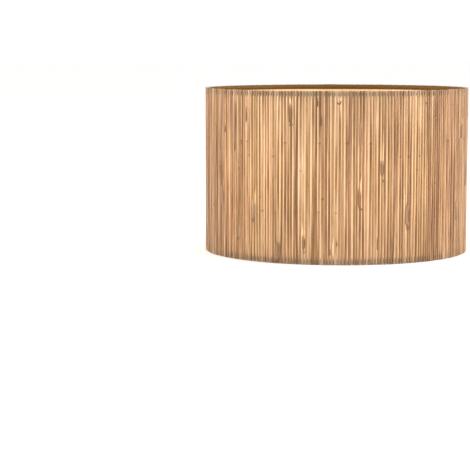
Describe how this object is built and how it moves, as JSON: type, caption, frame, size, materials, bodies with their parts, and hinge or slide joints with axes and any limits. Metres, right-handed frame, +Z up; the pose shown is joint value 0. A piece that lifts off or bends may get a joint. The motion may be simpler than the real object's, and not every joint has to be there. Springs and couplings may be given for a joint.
{
  "type": "drum lamp shade",
  "caption": "Straight-sided drum shade of upright reeds on a translucent liner, with wire rings, hem tape and a recessed spider fitter.",
  "frame": {"origin": "centre of the shade's bottom edge, on the surface it stands on", "axes": "+Z up along the drum's axis; the open seam of the cover and liner faces +Y, the back; +X to the right seen from the front"},
  "size_m": [0.404, 0.404, 0.25],
  "materials": {
    "reed": "dry, uncoated natural reed stems, pale straw to pinkish brown with darker nodes",
    "liner_cloth": "thin cream cloth laminated to a translucent film, matt",
    "ring_wire": "plain drawn steel wire",
    "hem_tape": "plain woven brown tape, matt",
    "fitter_paint": "black powder coat, satin"
  },
  "bodies": {
    "root": {"reed_mat": "reed", "liner": "liner_cloth", "seam_strip": "liner_cloth", "top_ring": "ring_wire", "bottom_ring": "ring_wire", "top_hem_tape": "hem_tape", "bottom_hem_tape": "hem_tape", "spider_arm_1": "fitter_paint", "spider_arm_2": "fitter_paint", "spider_arm_3": "fitter_paint", "fitter_ring": "fitter_paint"}
  },
  "joints": []
}
